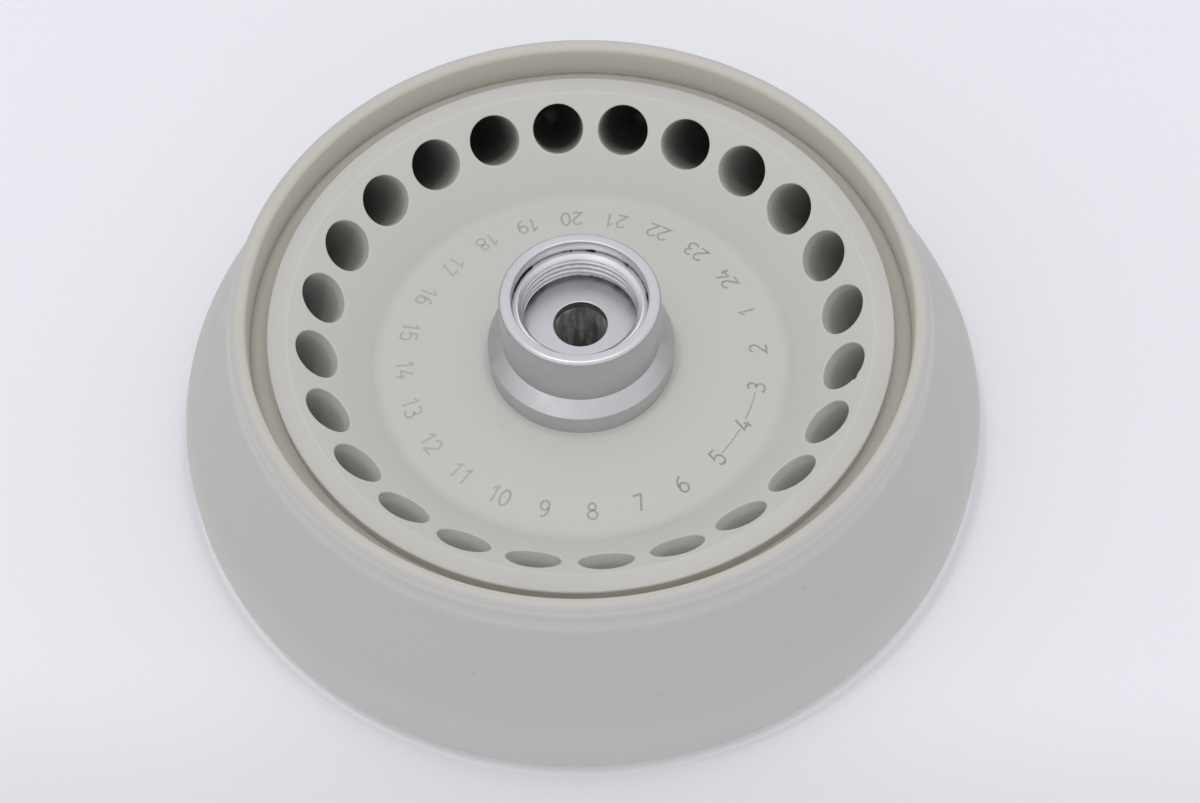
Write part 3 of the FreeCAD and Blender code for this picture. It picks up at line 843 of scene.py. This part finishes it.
def plastic(name, seed):
    """Pale warm-grey polypropylene with a fine spark-eroded grain, faint clouds of tone and light stains."""
    finish = Finish(name)
    moved = finish.node("ShaderNodeVectorMath", operation="ADD")
    finish.tree.links.new(finish.place, moved.inputs[0])
    moved.inputs[1].default_value = (seed, -seed, 2 * seed)
    place = moved.outputs["Vector"]
    clouds = finish.ramp(finish.noise(0.03, 4.0, 0.55, place), 0.3, 0.7)
    fine = finish.ramp(finish.noise(2.2, 2.0, 0.6, place), 0.35, 0.65, 0.0, 0.05)
    stain = finish.ramp(finish.noise(0.012, 3.0, 0.6, place), 0.52, 0.7, 0.0, 0.35)
    tone = finish.blend(clouds, shade(PLASTIC, 0.965), shade(PLASTIC, 1.03))
    tone = finish.blend(fine, tone, shade(PLASTIC, 0.8))
    tone = finish.blend(stain, tone, tuple(a * b for a, b in zip(PLASTIC, (1.0, 0.985, 0.95))))
    finish.bump(finish.noise(4.5, 3.0, 0.65, place), 0.012, 0.5)
    finish.bump(finish.noise(0.12, 2.0, 0.5, place), 0.05, 0.25)
    finish.roughness(finish.ramp(finish.noise(0.08, 5.0, 0.6, place), 0.3, 0.7, 0.42, 0.54))
    return finish, tone, place


def specks(finish, tone, place, per_mm, radius, share, where):
    """Dark specks of up to this radius in mm, in that share of the cells, where the mask lets them be."""
    cells = finish.node("ShaderNodeTexVoronoi", Vector=place, Scale=per_mm / MM, Randomness=1.0)
    spot = finish.ramp(cells.outputs["Distance"], 0.3 * radius * per_mm, radius * per_mm, 1.0, 0.0)
    pick = finish.node("ShaderNodeSeparateColor", Color=cells.outputs["Color"])
    chosen = finish.maths("LESS_THAN", pick.outputs[0], share)
    amount = finish.times(finish.times(spot, chosen), finish.times(where, pick.outputs[1]))
    return finish.blend(amount, tone, DIRT)


def shell_finish():
    """The outside tinted a darker grey as painted shade, with painted light making the lower band and the
    part just under the rim paler; warmer on the rim and its inner wall, that wall also made paler as painted
    light; a dirty corner and scuffs low on the band.
    """
    finish, tone, place = plastic("shell_plastic", 0.11)
    radius, height = finish.radius, finish.height
    # painted shade: the outside is tinted a darker grey than the plastic
    outer = finish.ramp(radius, 69.9, 71.3)
    tone = finish.tinted(tone, SHELL_GREY_PAINTED_SHADE, 0.9, outer)
    # painted light: the lower band is made paler, standing in for light bounced up from the table
    band = finish.ramp(height, 18.0, 6.0)
    tone = finish.tinted(tone, shade(SHELL_GREY_PAINTED_SHADE, 1.2), 0.8, band)
    # painted light: the outside just under the rim is made paler, for the light it misses there
    neck_painted_light = finish.times(finish.between(height, 37.6, 41.2, 1.8), finish.ramp(radius, 71.8, 72.3))
    tone = finish.tinted(tone, shade(SHELL_GREY_PAINTED_SHADE, 1.17), 0.9, neck_painted_light)
    rim_top = finish.times(finish.ramp(height, 41.6, 42.5), finish.ramp(radius, 71.2, 69.6))
    tone = finish.tinted(tone, shade(PLASTIC_WARM, 0.97), 0.9, rim_top)
    # the rim's inner wall is warm, and paler than the plastic as painted light on a wall in shade
    rim_inside_warm_painted_light = finish.times(finish.ramp(radius, 70.2, 69.0), finish.ramp(height, 33.0, 34.0))
    tone = finish.tinted(tone, shade(PLASTIC_WARM, 1.1), 0.85, rim_inside_warm_painted_light)
    corner = finish.times(finish.ramp(radius, 70.0, 69.2), finish.ramp(height, 34.9, 34.25))
    patchy = finish.ramp(finish.noise(0.5, 4.0, 0.7, place), 0.3, 0.7, 0.12, 0.55)
    tone = finish.blend(finish.times(corner, patchy), tone, GRIME)
    tone = specks(finish, tone, place, 1.2, 0.22, 0.5, corner)
    outside = finish.ramp(radius, 71.0, 72.0)
    tone = specks(finish, tone, place, 0.5, 0.22, 0.035, outside)
    streaks = finish.marks(9.0, 1.1, detail=4.0, roughness=0.65)
    scuffs = finish.ramp(streaks, 0.66, 0.76)
    low = finish.ramp(height, 13.0, 5.0)
    finish.colour(finish.tinted(tone, shade(DIRT, 2.6), 0.2, scuffs, low))
    return finish.material


def carrier_finish():
    """Cone and disc made paler as painted light, a warmer dirty groove whose wall is tinted a brown that is
    partly painted light, and painted shade darkening the wells with depth.
    """
    finish, tone, place = plastic("carrier_plastic", 0.37)
    radius, height = finish.radius, finish.height
    groove = finish.times(finish.ramp(radius, 64.9, 65.3), finish.ramp(height, 36.4, 34.6))
    patchy = finish.ramp(finish.noise(0.35, 5.0, 0.7, place), 0.35, 0.75, 0.75, 1.0)
    tone = finish.blend(finish.times(groove, patchy), tone, shade(PLASTIC_WARM, 0.96))
    # the groove's wall in shade is tinted a brown paler than the plastic, partly painted light
    tone = finish.tinted(tone, GROOVE_BROWN_PAINTED_LIGHT, 0.7, groove, finish.ramp(radius, 65.8, 65.2))
    tone = finish.tinted(tone, GRIME, 0.4, groove, finish.ramp(radius, 68.25, 68.75))
    tone = specks(finish, tone, place, 1.2, 0.16, 0.3, groove)
    # painted light: the cone is made paler than the rest of the plastic
    cone = finish.times(finish.between(radius, 46.0, 60.0, 1.5), finish.ramp(height, 21.0, 23.0))
    tone = finish.tinted(tone, shade(PLASTIC, 1.11), 0.8, cone)
    # painted light: the disc is made paler too
    disc = finish.times(finish.ramp(radius, 45.0, 42.0), finish.ramp(height, 20.0, 20.7))
    tone = finish.tinted(tone, shade(PLASTIC, 1.08), 0.8, disc)
    above_cone = finish.maths("SUBTRACT", height, finish.times(radius, CONE_SLOPE))
    # painted shade: the wells darken with depth below the cone
    deep_well_painted_shade = finish.ramp(above_cone, cone_z(0) - 1.0, cone_z(0) - 9.0)
    # painted shade: a little more darkening just below the wells' mouths
    mouth_painted_shade = finish.ramp(above_cone, cone_z(0) - 2.2, cone_z(0) - 4.0)
    under_rim = finish.ramp(height, GROOVE_Z - 0.1, GROOVE_Z - 0.5)
    where_wells_are = finish.maths("MAXIMUM", finish.ramp(radius, PLATE_STEP_R, 60.4), under_rim)
    outside_disc = finish.ramp(radius, 47.0, 52.0)
    tone = finish.tinted(tone, shade(PLASTIC, 0.45), 0.55, deep_well_painted_shade, where_wells_are, outside_disc)
    tone = finish.tinted(tone, shade(PLASTIC, 0.30), 0.22, mouth_painted_shade, where_wells_are)
    visible = finish.ramp(height, SEAT_Z - SEAT_WEB, SEAT_Z - 2.5)
    tone = specks(finish, tone, place, 0.5, 0.16, 0.05, visible)
    by_hub = finish.times(finish.between(radius, 19.0, 20.4, 1.2), finish.ramp(height, 21.0, 22.0))
    finish.colour(finish.tinted(tone, shade(DIRT, 2.6), 0.12, by_hub))
    return finish.material


def number_finish():
    """Grey marking that has worn unevenly into the plastic, most on the side towards -X."""
    finish, tone, place = plastic("number_grey", 0.61)
    side = finish.node("ShaderNodeSeparateXYZ", Vector=finish.place).outputs["X"]
    faded = finish.ramp(side, -0.035, 0.030, 0.45, 0.85)
    wear = finish.ramp(finish.noise(0.05, 4.0, 0.6, place), 0.35, 0.65, 0.75, 1.0)
    flecks = finish.ramp(finish.noise(1.4, 3.0, 0.7, place), 0.3, 0.6, 0.6, 1.0)
    finish.colour(finish.blend(finish.times(finish.times(wear, faded), flecks), tone, NUMBER_GREY))
    return finish.material


def aluminium(name, tint, rough):
    """Satin anodised aluminium: faint lathe marks round the axis under a fine etched grain."""
    finish = Finish(name, metallic=1.0)
    cloud = finish.ramp(finish.noise(0.12, 4.0, 0.6), 0.3, 0.7)
    streaks = finish.ramp(finish.marks(45.0, 0.05, detail=2.0), 0.5, 0.75, 0.0, 0.07)
    tone = finish.blend(cloud, shade(tint, 0.95), tint)
    tone = finish.blend(streaks, tone, shade(tint, 0.8))
    finish.bump(finish.marks(3.0, 5.2, 5.2, detail=2.0, roughness=0.7), 0.003, 0.3)
    finish.bump(finish.noise(6.0, 2.0, 0.6), 0.006, 0.5)
    finish.roughness(finish.ramp(finish.noise(0.6, 4.0, 0.65), 0.3, 0.7, rough - 0.04, rough + 0.06))
    return finish, tone


def hub_finish():
    """Aluminium with black dirt where the thread ring meets the cup's wall, and grime round its floor;
    painted light on its cone and painted shade on the cup's inner wall.
    """
    finish, tone = aluminium("turned_aluminium", (0.620, 0.616, 0.634), 0.37)
    radius, height = finish.radius, finish.height
    # painted light: the hub's cone gets a paler tint, for a brighter reflection round its sides
    hub_cone_painted_light = finish.times(finish.ramp(radius, 16.7, 16.85), finish.between(height, 28.1, 31.1, 0.1))
    tone = finish.tinted(tone, (0.740, 0.735, 0.755), 0.15, hub_cone_painted_light)
    crevice = finish.times(finish.between(radius, 13.6, 14.4, 0.15), finish.between(height, 41.0, 41.4, 0.2))
    patches = finish.ramp(finish.noise(0.22, 5.0, 0.7), 0.55, 0.59, 0.12, 1.0)
    longest = finish.between(finish.turn, radians(138), radians(166), radians(3))
    patches = finish.maths("MAXIMUM", patches, longest)
    tone = finish.blend(finish.times(crevice, patches), tone, (0.010, 0.010, 0.012))
    # painted shade: the cup's inner wall above the thread ring is darkened
    cup = finish.times(finish.ramp(radius, 14.7, 14.3), finish.ramp(height, 40.8, 41.8))
    tone = finish.tinted(tone, (0.42, 0.42, 0.43), 0.1, cup)
    in_relief = finish.times(finish.ramp(radius, 13.1, 12.9), finish.ramp(height, 36.6, 35.6))
    edge = finish.times(in_relief, finish.ramp(radius, 10.4, 12.6))
    grime = finish.ramp(finish.noise(0.45, 5.0, 0.65), 0.42, 0.66, 0.15, 0.85)
    tone = finish.blend(finish.times(edge, grime), tone, METAL_GRIME)
    side = finish.ramp(radius, 16.0, 16.5)
    finish.colour(specks(finish, tone, finish.place, 0.35, 0.09, 0.12, side))
    return finish.material


def plain_aluminium_finish():
    finish, tone = aluminium("inner_aluminium", (0.700, 0.700, 0.715), 0.40)
    finish.colour(tone)
    return finish.material


def thread_finish():
    """Pale turned ring, its top made paler still as painted light, with grime in its thread and a dark line
    under its chamfer.
    """
    finish, tone = aluminium("ring_steel", (0.680, 0.680, 0.695), 0.34)
    radius, height = finish.radius, finish.height
    # painted light: the ring's top is made paler, for a brighter reflection
    top = finish.ramp(height, THREAD_TOP_Z - 0.9, THREAD_TOP_Z - 0.5)
    tone = finish.tinted(tone, (0.860, 0.860, 0.875), 0.8, top)
    below_chamfer = finish.ramp(height, THREAD_TOP_Z - 1.0, THREAD_TOP_Z - 1.1)
    roots = finish.times(finish.ramp(radius, 12.05, 12.4), below_chamfer)
    grime = finish.ramp(finish.noise(0.8, 4.0, 0.7), 0.35, 0.7, 0.15, 0.6)
    tone = finish.blend(finish.times(roots, grime), tone, METAL_GRIME)
    line = finish.between(height, THREAD_TOP_Z - 1.12, THREAD_TOP_Z - 1.02, 0.06)
    tone = finish.tinted(tone, METAL_BLACK, 0.75, line)
    outside = finish.ramp(radius, 13.75, 14.0)
    finish.colour(finish.blend(finish.times(outside, grime), tone, METAL_BLACK))
    return finish.material


def bush_finish():
    """Dark bronze-grey sleeve, polished and streaked along its length by the spindle."""
    finish = Finish("bush_dark", metallic=0.35)
    streaks = finish.marks(2.6, 0.07, detail=4.0, roughness=0.55)
    tone = finish.blend(finish.ramp(streaks, 0.38, 0.68), (0.36, 0.357, 0.35), (0.97, 0.96, 0.94))
    blotch = finish.ramp(finish.noise(0.30, 4.0, 0.6), 0.42, 0.65)
    finish.colour(finish.tinted(tone, (0.20, 0.195, 0.15), 0.6, blotch))
    finish.roughness(finish.ramp(streaks, 0.3, 0.7, 0.5, 0.36))
    finish.bump(streaks, 0.01, 0.4)
    return finish.material


def base_finish():
    """The cover's plastic, rubbed a little darker where the foot stands on tables."""
    finish, tone, place = plastic("base_plastic", 0.83)
    foot = finish.ramp(finish.height, 0.3, 0.0)
    rubbed = finish.ramp(finish.noise(0.15, 5.0, 0.7, place), 0.45, 0.7, 0.0, 0.5)
    tone = finish.blend(finish.times(foot, rubbed), tone, shade(PLASTIC, 0.6))
    finish.colour(specks(finish, tone, place, 0.5, 0.16, 0.05, foot))
    return finish.material


def metal_finish(name, tint, rough):
    """Small fasteners: rolled metal with fine scratches and darker handling stains."""
    finish = Finish(name, metallic=1.0)
    stain = finish.ramp(finish.noise(0.6, 4.0, 0.65), 0.4, 0.7)
    finish.colour(finish.blend(finish.times(stain, 0.5), tint, shade(tint, 0.6)))
    finish.roughness(finish.ramp(finish.noise(2.5, 4.0, 0.7), 0.3, 0.7, rough - 0.06, rough + 0.1))
    finish.bump(finish.noise(9.0, 2.0, 0.6), 0.004, 0.5)
    return finish.material


def rubber_finish():
    """Black seal rubber with a faint grey bloom."""
    finish = Finish("seal_rubber", ior=1.52)
    bloom = finish.ramp(finish.noise(0.9, 4.0, 0.6), 0.4, 0.7)
    finish.colour(finish.blend(bloom, (0.018, 0.018, 0.019), (0.045, 0.045, 0.047)))
    finish.roughness(finish.ramp(bloom, 0.0, 1.0, 0.55, 0.72))
    finish.bump(finish.noise(6.0, 3.0, 0.6), 0.01, 0.5)
    return finish.material


def floor_finish():
    """White table, darker in front of the rotor as painted shade and pale under the edge of the band as
    painted light against the band's shadow.
    """
    finish = Finish("white_table")
    drift = finish.ramp(finish.noise(0.004, 3.0, 0.5), 0.3, 0.7)
    tone = finish.blend(drift, (0.775, 0.775, 0.805), (0.795, 0.795, 0.825))
    y = finish.node("ShaderNodeSeparateXYZ", Vector=finish.place).outputs["Y"]
    # painted shade: the table is darker in front of the rotor
    tone = finish.blend(finish.ramp(y, -0.062, -0.098, 0.0, 0.52), tone, (0.620, 0.620, 0.642))
    # painted light: a pale ring on the table under the edge of the band, where its shadow falls
    under_band_painted_light = finish.between(finish.radius, 80.0, 85.8, 1.2)
    finish.colour(finish.tinted(tone, (0.960, 0.955, 0.970), 0.85, under_band_painted_light))
    finish.roughness(finish.ramp(finish.noise(0.02, 3.0, 0.5), 0.3, 0.7, 0.6, 0.7))
    return finish.material


# ---- the rotor ----
placed(make_outer_shell(), shell_finish(), "shell_plastic", "outer_shell")
placed(make_tube_carrier(), carrier_finish(), "carrier_plastic", "tube_carrier")
placed(make_tube_numbers(), number_finish(), None)
placed(make_hub(), hub_finish(), "turned_aluminium", "hub")
placed(make_lid_thread_ring(), thread_finish(), "ring_steel", "lid_thread_ring")
placed(make_bore_bush(), bush_finish(), "bush_dark", "bore_bush")

INNER_FINISHES = {
    plain_aluminium_finish(): ("hub_clamp_ring", "hub_spacer", "base_ring_nut"),
    metal_finish("fastener_steel", (0.60, 0.60, 0.61), 0.30): (
        "hub_screws", "hub_screw_washers", "hub_dowels", "drive_pins", "base_screws", "base_screw_washers",
        "bush_retaining_ring"),
    metal_finish("insert_brass", (0.72, 0.52, 0.25), 0.34): ("shell_inserts",),
    metal_finish("magnet_nickel", (0.66, 0.65, 0.62), 0.22): ("id_magnets",),
    rubber_finish(): ("hub_seal_ring", "shell_seal_ring", "base_gasket"),
    base_finish(): ("base_cover",),
}
for material, nodes in INNER_FINISHES.items():
    for node in nodes:
        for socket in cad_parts[node].material_slots:
            socket.material = material


# ---- table, light and camera ----
def make_table():
    half = 3.0
    mesh = bpy.data.meshes.new("table")
    corners = [(-half, -half, 0), (half, -half, 0), (half, half, 0), (-half, half, 0)]
    mesh.from_pydata(corners, [], [(0, 1, 2, 3)])
    table = new_object("table", mesh)
    mesh.materials.append(floor_finish())


def make_lamp(name, place, aim, width, watts, colour=(1, 1, 1)):
    lamp = bpy.data.lights.new(name, "AREA")
    lamp.shape = "DISK"
    lamp.size = width
    lamp.energy = watts
    lamp.color = colour
    stand = bpy.data.objects.new(name, lamp)
    stand.location = place
    stand.rotation_euler = (Vector(aim) - Vector(place)).to_track_quat("-Z", "Y").to_euler()
    bpy.context.scene.collection.objects.link(stand)


def make_world():
    world = bpy.data.worlds.new("studio")
    world.use_nodes = True
    background = world.node_tree.nodes["Background"]
    background.inputs["Color"].default_value = (0.955, 0.965, 1.0, 1.0)
    background.inputs["Strength"].default_value = 0.94
    bpy.context.scene.world = world


def make_camera():
    """Camera half a metre away, 55 degrees above the ring of wells, aimed a little off the rotor's axis."""
    distance = 0.49263
    elevation = radians(55.093)
    pan, tilt, roll = radians(-0.4157), radians(-1.718), radians(-1.754)
    azimuth = radians(3.70)
    lens = bpy.data.cameras.new("camera")
    lens.sensor_width = 36.0
    lens.lens = 70.51
    lens.dof.use_dof = False
    camera = bpy.data.objects.new("camera", lens)
    bpy.context.scene.collection.objects.link(camera)
    place = Vector((0, -distance * cos(elevation), distance * sin(elevation)))
    looking = (-place).to_track_quat("-Z", "Y").to_matrix().to_4x4()
    nudge = Matrix.Rotation(pan, 4, "Y") @ Matrix.Rotation(tilt, 4, "X") @ Matrix.Rotation(roll, 4, "Z")
    turn = Matrix.Rotation(azimuth, 4, "Z")
    lift = Matrix.Translation((0, 0, WELL_RING_Z * MM))
    camera.matrix_world = lift @ turn @ Matrix.Translation(place) @ looking @ nudge
    bpy.context.scene.camera = camera


make_table()
make_world()
HUB_TOP = (0, 0, 0.04)
CEILING_WHITE = (1.0, 0.99, 0.975)
make_lamp("ceiling_left", (-0.24, -0.04, 1.20), HUB_TOP, 0.10, 1.3, CEILING_WHITE)
make_lamp("ceiling_right", (0.22, -0.04, 1.20), HUB_TOP, 0.08, 0.8, CEILING_WHITE)
make_lamp("front_left", (-0.50, -0.75, 0.62), HUB_TOP, 0.70, 0.28)
make_camera()
bpy.context.scene.view_settings.view_transform = "Standard"
bpy.context.scene.view_settings.look = "None"
